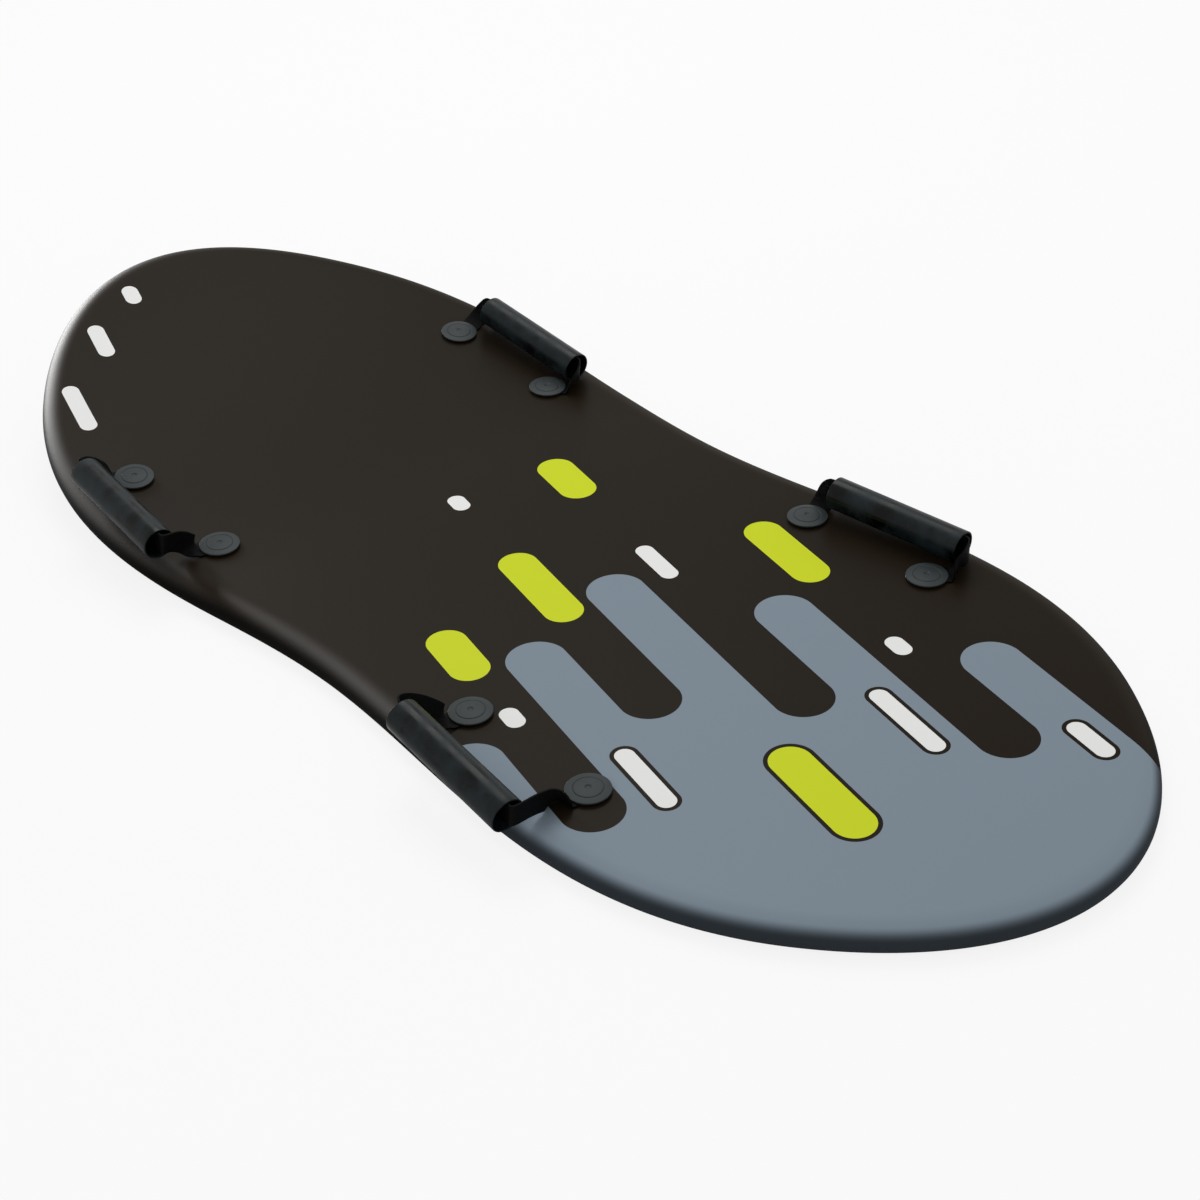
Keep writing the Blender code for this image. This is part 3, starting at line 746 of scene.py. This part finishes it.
def make_cap_mesh():
    crown_edge = CAP_RADIUS - CAP_EDGE_ROUND
    radii = [index * CROWN_STEP for index in range(int(crown_edge / CROWN_STEP))]
    corner = (crown_edge, dome_height(crown_edge) - CAP_EDGE_ROUND)
    profile = [(radius, dome_height(radius)) for radius in radii]
    profile += arc(corner, CAP_EDGE_ROUND, 90, 0, CROWN_CORNER_STEPS) + [
        (CAP_RADIUS, CAP_SEAT + CAP_CHAMFER),
        (CAP_RADIUS - CAP_CHAMFER, CAP_SEAT),
        (BARREL_RADIUS, CAP_SEAT),
        (BARREL_RADIUS, BARREL_END),
        (BORE_RADIUS, BARREL_END),
        (BORE_RADIUS, CAP_SEAT - BORE_ROOF),
        (0.0, CAP_SEAT - BORE_ROOF),
    ]
    return finished_mesh(turned(profile, ROUND_SIDES))


def make_button_mesh():
    stem_radius = BORE_RADIUS - FIT_GAP
    stem_top = BUTTON_TOP + STEM_LENGTH
    inner = BUTTON_RADIUS - BUTTON_ROUND
    profile = [
        (0.0, stem_top),
        (stem_radius - STEM_CHAMFER, stem_top),
        (stem_radius, stem_top - STEM_CHAMFER),
        (stem_radius, BUTTON_TOP),
    ]
    profile += arc((inner, BUTTON_TOP - BUTTON_ROUND), BUTTON_ROUND, 90, 0, CORNER_STEPS)
    profile += arc((inner, BUTTON_BOTTOM + BUTTON_ROUND), BUTTON_ROUND, 0, -90, CORNER_STEPS)
    profile.append((0.0, BUTTON_BOTTOM))
    slot = bmesh.new()
    place = Matrix.Translation((0, 0, stem_top))
    size = Matrix.Diagonal((STEM_SLOT, 2 * BARREL_RADIUS, 2 * STEM_SLOT_DEPTH, 1.0))
    bmesh.ops.create_cube(slot, size=1.0, matrix=place @ size)
    return cut(finished_mesh(turned(profile, ROUND_SIDES)), finished_mesh(slot))


print("a cap stands", round(dome_height(CAP_DIMPLE_RADIUS), 4), "m over the deck")

# %% Caps and buttons
for kind, make_mesh in (("cap", make_cap_mesh), ("button", make_button_mesh)):
    form = make_mesh()
    for name, x, s in fixing_places():
        mesh = form.copy()
        mesh.transform(board_frame(x, s))
        piece = add_piece("moulded_" + kind + "_" + name, mesh, moulded_plastic, "board")
        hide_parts(kind + "_" + name)
    print(kind, "faces:", len(form.polygons))

# %% [markdown]
# ## Vinyl grips
#
# Each grip is a length of soft vinyl tube, extruded and cut, that the webbing passes through. To the eye
# vinyl is a soft black gloss with a cool bloom in clouds, and faint lines along the tube from the die. A
# cylinder with a Solidify modifier would be hollow too, but its cut ends would stay sharp. So the tube's wall
# is drawn with its rounded ends as a closed half section, turned, and laid along the handle.

# %% Soft vinyl
BLOOM_CLOUD = 22 * MM
TUBE_LINE_PITCH = 2.5 * MM
TUBE_LINE_LENGTH = 70 * MM
TUBE_LINE_DEPTH = 0.06 * MM


def make_soft_vinyl():
    """Extruded soft vinyl: black, softly glossy, with a cool bloom in clouds and lines along the tube."""
    material, tree, shader = start_material("extruded_soft_vinyl", IOR=1.53, Specular_IOR_Level=0.12)
    coordinates = add_node(tree, "ShaderNodeTexCoord", out="Object")
    noise = add_node(
        tree, "ShaderNodeTexNoise", {"Vector": coordinates, "Scale": 1 / BLOOM_CLOUD, "Detail": 6.0}
    )
    clouds = add_node(tree, "ShaderNodeMapRange", {"Value": noise, "From Min": 0.36, "From Max": 0.64})
    colour = add_node(
        tree, "ShaderNodeMix", {"Factor": clouds, "A": linear("010202"), "B": linear("1C2528")},
        out="Result", data_type="RGBA",
    )
    gloss = add_node(tree, "ShaderNodeMapRange", {"Value": clouds, "To Min": 0.2, "To Max": 0.45})
    stretched = add_node(
        tree, "ShaderNodeMapping",
        {"Vector": coordinates, "Scale": (1 / TUBE_LINE_PITCH, 1 / TUBE_LINE_LENGTH, 1 / TUBE_LINE_PITCH)},
    )
    lines = add_node(tree, "ShaderNodeTexNoise", {"Vector": stretched, "Scale": 1.0, "Detail": 2.0})
    bump = add_node(tree, "ShaderNodeBump", {"Height": lines, "Strength": 0.5, "Distance": TUBE_LINE_DEPTH})
    tree.links.new(colour, shader.inputs["Base Color"])
    tree.links.new(gloss, shader.inputs["Roughness"])
    tree.links.new(bump, shader.inputs["Normal"])
    return material


soft_vinyl = make_soft_vinyl()
print("soft vinyl:", len(soft_vinyl.node_tree.nodes), "nodes")

# %% Grips
GRIP_LENGTH = 128 * MM
GRIP_WALL = 1.4 * MM
GRIP_PLAY = 2.8 * MM         # between the webbing's corners and the bore
GRIP_LIP_ROUND = 0.4 * MM
GRIP_CREASE = 50
GRIP_BORE_RADIUS = math.hypot(STRAP_WIDTH / 2, STRAP_THICKNESS / 2) + GRIP_PLAY
GRIP_RADIUS = GRIP_BORE_RADIUS + GRIP_WALL
GRIP_RINGS = 24


def grip_frame(handle):
    """The grip's own frame: its Y is the axis that the tube turns on."""
    x = handle["side"] * (FIXING_ROW + FIXING_PITCH * handle["reach_share"])
    s = handle["place"] + STRAP_WIDTH * handle["slip_share"]
    level = board_frame(x, s, STRAP_WIDTH * handle["lift_share"] + GRIP_RADIUS)
    swing = Matrix.Rotation(-handle["side"] * math.radians(handle["turn_out"]), 4, "Z")
    return level @ swing @ Matrix.Rotation(-math.radians(handle["droop"]), 4, "X")


def make_grip_mesh():
    half, lip = GRIP_LENGTH / 2, GRIP_LIP_ROUND
    shares = [index / GRIP_RINGS * 2 - 1 for index in range(1, GRIP_RINGS)]
    outside = [(GRIP_RADIUS, (half - lip) * share) for share in shares]
    inside = [(GRIP_BORE_RADIUS, (half - lip) * share) for share in reversed(shares)]
    profile = arc((GRIP_BORE_RADIUS + lip, lip - half), lip, -180, -90, CORNER_STEPS)
    profile += arc((GRIP_RADIUS - lip, lip - half), lip, -90, 0, CORNER_STEPS) + outside
    profile += arc((GRIP_RADIUS - lip, half - lip), lip, 0, 90, CORNER_STEPS)
    profile += arc((GRIP_BORE_RADIUS + lip, half - lip), lip, 90, 180, CORNER_STEPS) + inside
    profile.append(profile[0])
    mesh = finished_mesh(turned(profile, ROUND_SIDES), GRIP_CREASE)
    mesh.transform(Matrix.Rotation(math.pi / 2, 4, "X"))
    return mesh


grip_form = make_grip_mesh()
for handle in HANDLES:
    mesh = grip_form.copy()
    mesh.transform(grip_frame(handle))
    grip = add_piece("vinyl_" + handle["name"], mesh, soft_vinyl, "grip_" + handle["name"])
    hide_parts("grip_" + handle["name"])
print("grip faces:", len(grip_form.polygons))

# %% [markdown]
# ## Webbing
#
# The straps are woven polypropylene webbing. To the eye it is black with a soft sheen, because the yarns lie
# flat, with a small plait of yarns along the strap and a rounded selvage at each edge. Each strap leaves its
# cap flat on the deck, rises, turns on edge and runs into the grip's mouth. A curve with a flat profile would
# follow that route too, but its twist is hard to hold. So a grid is laid along the route with its width
# carried from point to point, its own map measures metres along and across the webbing, and modifiers give it
# its thickness and its selvages.

# %% Woven polypropylene
YARN_LENGTH = 3.2 * MM       # one visible float of a yarn
YARN_WIDTH = 1.25 * MM
YARN_GAP = 0.2 * YARN_WIDTH
YARN_DEPTH = 0.25 * MM


def make_woven_polypropylene():
    """Woven polypropylene webbing: black flat yarns in a plait, with a soft sheen."""
    material, tree, shader = start_material(
        "woven_polypropylene_webbing", Roughness=0.6, IOR=1.49, Specular_IOR_Level=0.06
    )
    weave_map = add_node(tree, "ShaderNodeUVMap", uv_map="weave")
    plait = add_node(
        tree, "ShaderNodeTexBrick",
        {"Vector": weave_map, "Color1": linear("050606"), "Color2": linear("0A0A0B"),
         "Mortar": linear("010101"), "Scale": 1.0, "Brick Width": YARN_LENGTH, "Row Height": YARN_WIDTH,
         "Mortar Size": YARN_GAP, "Mortar Smooth": 1.0, "Bias": 0.0},
    )
    gaps = plait.node.outputs["Fac"]
    bump = add_node(
        tree, "ShaderNodeBump", {"Height": gaps, "Strength": 0.7, "Distance": YARN_DEPTH}, invert=True
    )
    tree.links.new(plait, shader.inputs["Base Color"])
    tree.links.new(bump, shader.inputs["Normal"])
    return material


webbing = make_woven_polypropylene()
print("webbing:", len(webbing.node_tree.nodes), "nodes")

# %% Route of the webbing
STRAP_TAIL = 12 * MM         # what runs on under the cap past the fixing
STRAP_RUN_OUT = 2 * MM       # what lies flat past the cap
STRAP_RUN_IN = 2 * MM        # what is straight before the grip
STRAP_LEVEL = FIT_GAP + STRAP_THICKNESS / 2
STRAP_TURN_STEPS = 28
BORE_SIDES = 22              # the working model's bore has flat sides, and the grip hangs by the upper one
GRIP_HANG = GRIP_BORE_RADIUS * math.cos(math.pi / BORE_SIDES) - STRAP_WIDTH / 2 - FIT_GAP
TWIST_RISE = 0.55 * STRAP_WIDTH


def bezier(points, share):
    a, b, c, d = points
    rest = 1.0 - share
    return a * rest**3 + b * 3 * rest**2 * share + c * 3 * rest * share**2 + d * share**3


def nearest_roll(width, wanted, heading):
    """The smaller turn about the heading that lines the width up with the wanted one, either way up."""
    flat_wanted = (wanted - heading * wanted.dot(heading)).normalized()
    roll = math.atan2(width.cross(flat_wanted).dot(heading), width.dot(flat_wanted))
    return roll - math.copysign(math.pi, roll) if abs(roll) > math.pi / 2 else roll


def strap_half(handle, way):
    """Centre points of the webbing and directions of its width, from one fixing into the grip's mouth."""
    row, s = handle["side"] * FIXING_ROW, handle["place"] + way * FIXING_PITCH / 2
    on_deck = board_frame(row, s).to_3x3()
    end = 0 if way < 0 else 1
    splay = math.radians(handle["splays"][end])
    out = Vector((handle["side"] * math.cos(splay), way * math.sin(splay), 0))
    reaches = (-STRAP_TAIL, 0.0, CAP_RADIUS, CAP_RADIUS + STRAP_RUN_OUT)
    lying = [board_frame(row + out.x * reach, s + out.y * reach, STRAP_LEVEL) for reach in reaches]
    flat = [place.translation for place in lying]
    flat_widths = [place.to_3x3() @ Vector((-out.y, out.x, 0)) for place in lying]
    grip = grip_frame(handle)
    axis = grip.to_3x3() @ Vector((0, way, 0))
    upright = grip.to_3x3() @ Vector((0, 0, 1))
    normal = on_deck @ Vector((0, 0, 1))
    mouth = grip.translation + upright * GRIP_HANG + axis * GRIP_LENGTH / 2
    start, finish = flat[-1], mouth + axis * STRAP_RUN_IN
    climb = math.radians(handle["climbs"][end])
    leave = on_deck @ out * math.cos(climb) + normal * math.sin(climb)
    rising = start + leave * STRAP_WIDTH * handle["leave_shares"][end]
    bow = axis * handle["enter_shares"][end] - upright * handle["sag_shares"][end]
    curve = (start, rising, finish + bow * STRAP_WIDTH, finish)
    shares = [index / STRAP_TURN_STEPS for index in range(1, STRAP_TURN_STEPS + 1)]
    turn = [bezier(curve, share) for share in shares]
    headings = [
        (bezier(curve, share + NUDGE) - bezier(curve, share - NUDGE)).normalized() for share in shares
    ]
    widths = [flat_widths[-1]]
    for heading in headings:
        widths.append((widths[-1] - heading * widths[-1].dot(heading)).normalized())
    widths.pop(0)
    roll = nearest_roll(widths[-1], upright, headings[-1])
    full_rise = min(TWIST_RISE, (finish - start).dot(normal))
    for index, (point, heading) in enumerate(zip(turn, headings)):
        turned_up = roll * smooth_step((point - start).dot(normal) / full_rise)
        widths[index] = Matrix.Rotation(turned_up, 3, heading) @ widths[index]
    return flat + turn + [mouth], flat_widths + widths + [upright]


def strap_route(handle):
    """The whole route from fixing to fixing, with the width never turning over from point to point."""
    centres, widths = strap_half(handle, -1)
    last_centres, last_widths = strap_half(handle, 1)
    centres += reversed(last_centres)
    for width in reversed(last_widths):
        widths.append(width if width.dot(widths[-1]) > 0.0 else -width)
    return centres, widths


print("points on a route:", len(strap_route(HANDLES[0])[0]))

# %% Straps
STRAP_COLUMNS = 8
STRAP_CREASE = 60
SELVAGE_ROUND = 0.45 * MM
SELVAGE_STEPS = 3


def make_strap_mesh(handle):
    """A grid laid along the route, with a map in metres along and across the webbing."""
    centres, widths = strap_route(handle)
    runs = [0.0]
    for near, far in zip(centres, centres[1:]):
        runs.append(runs[-1] + (far - near).length)
    bm = bmesh.new()
    bmesh.ops.create_grid(bm, x_segments=STRAP_COLUMNS, y_segments=len(centres) - 1, size=1.0)
    weave = bm.loops.layers.uv.new("weave")
    rows = {vert: round((vert.co.y + 1.0) / 2 * (len(centres) - 1)) for vert in bm.verts}
    shares = {vert: vert.co.x for vert in bm.verts}
    for face in bm.faces:
        for loop in face.loops:
            loop[weave].uv = (runs[rows[loop.vert]], shares[loop.vert] * STRAP_WIDTH / 2)
    for vert in bm.verts:
        vert.co = centres[rows[vert]] + widths[rows[vert]] * shares[vert] * STRAP_WIDTH / 2
    return finished_mesh(bm, STRAP_CREASE)


for handle in HANDLES:
    strap = add_piece("webbing_" + handle["name"], make_strap_mesh(handle), webbing)
    wall = strap.modifiers.new("thickness", "SOLIDIFY")
    wall.thickness = STRAP_THICKNESS
    wall.offset = 0.0
    selvage = strap.modifiers.new("selvage", "BEVEL")
    selvage.width = SELVAGE_ROUND
    selvage.segments = SELVAGE_STEPS
    selvage.limit_method = "ANGLE"
    selvage.angle_limit = math.radians(STRAP_CREASE)
    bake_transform(strap)
    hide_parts("strap_" + handle["name"])
    length = max(loop.uv.x for loop in strap.data.uv_layers["weave"].data)
    print(strap.name, "length:", round(length, 3), "m")

# %% [markdown]
# ## Floor and light
#
# The picture is cut out on white, lit from all round like a catalogue shot. A bright world alone would do,
# but would leave the forms flat. So the world is white to the camera and to reflections, and plain soft light
# to everything else, and one large lamp over the nose's right side adds form. A second lamp stands low ahead
# of the nose. It is a panel that only the printed skin reflects, and it draws the soft pale band along the
# nose's left rim.

# %% Stage
FLOOR_SIZE = 16.0
FLOOR_DROP = 0.5 * MM        # just under the belly, so that the two don't flicker
PAPER_GLOW = 0.85            # the share of pure white in what the camera sees


def make_backdrop_paper():
    """Matt white backdrop paper that the camera sees almost as pure white, with the shadow kept."""
    material, tree, shader = start_material(
        "white_backdrop_paper", Base_Color=linear("F4F4F4"), Roughness=0.9
    )
    seen = add_node(tree, "ShaderNodeLightPath", out="Is Camera Ray")
    lit = add_node(tree, "ShaderNodeMath", {0: seen, 1: PAPER_GLOW}, operation="MULTIPLY")
    glow = add_node(tree, "ShaderNodeEmission", {"Color": (1, 1, 1, 1), "Strength": 1.0})
    mix = add_node(tree, "ShaderNodeMixShader", {0: lit, 1: shader.outputs[0], 2: glow})
    tree.links.new(mix, tree.nodes["Material Output"].inputs["Surface"])
    return material


bm = bmesh.new()
level = Matrix.Translation((0, 0, -FLOOR_DROP))
bmesh.ops.create_grid(bm, x_segments=1, y_segments=1, size=FLOOR_SIZE / 2, matrix=level)
floor = bpy.data.objects.new("floor", finished_mesh(bm))
floor.data.materials.append(make_backdrop_paper())
bpy.context.scene.collection.objects.link(floor)
print("floor:", FLOOR_SIZE, "m square")

# %% World and lamps
AMBIENT = 0.55
LAMPS = (
    {"name": "key", "place": (-0.9, -1.2, 2.3), "size": 1.6, "power": 24.0},
    {"name": "rim", "place": (0.05, -3.4, 0.95), "size": 1.6, "power": 600.0,
     "gloss_on": [printed_skin]},
)


def make_world():
    world = bpy.data.worlds.new("studio")
    world.use_nodes = True
    tree = world.node_tree
    rays = add_node(tree, "ShaderNodeLightPath").node.outputs
    seen = add_node(
        tree, "ShaderNodeMath", {0: rays["Is Camera Ray"], 1: rays["Is Glossy Ray"]}, operation="MAXIMUM"
    )
    seen = add_node(
        tree, "ShaderNodeMath", {0: seen, 1: rays["Is Transmission Ray"]}, operation="MAXIMUM"
    )
    soft = tree.nodes["Background"]
    soft.inputs["Color"].default_value = (1, 1, 1, 1)
    soft.inputs["Strength"].default_value = AMBIENT
    white = add_node(tree, "ShaderNodeBackground", {"Color": (1, 1, 1, 1), "Strength": 1.0})
    mix = add_node(tree, "ShaderNodeMixShader", {0: seen, 1: soft.outputs[0], 2: white})
    tree.links.new(mix, tree.nodes["World Output"].inputs["Surface"])
    bpy.context.scene.world = world


def make_lamp(name, place, size, power, gloss_on=()):
    """A round panel of light that faces the board. With gloss_on, it shows only as gloss, on those pieces."""
    light = bpy.data.lights.new(name, "AREA")
    light.shape = "DISK"
    light.size = size
    light.energy = power
    lamp = bpy.data.objects.new(name, light)
    aim = Vector(place).to_track_quat("Z", "Y").to_matrix().to_4x4()
    lamp.matrix_world = Matrix.Translation(place) @ aim
    lamp.visible_camera = False
    bpy.context.scene.collection.objects.link(lamp)
    if gloss_on:
        lamp.visible_diffuse = False
        lit = bpy.data.collections.new(name + "_lights")
        for piece in gloss_on:
            lit.objects.link(piece)
        lamp.light_linking.receiver_collection = lit


make_world()
for lamp in LAMPS:
    make_lamp(**lamp)
bpy.context.scene.view_settings.view_transform = "Standard"
print("lamps:", [lamp["name"] for lamp in LAMPS])
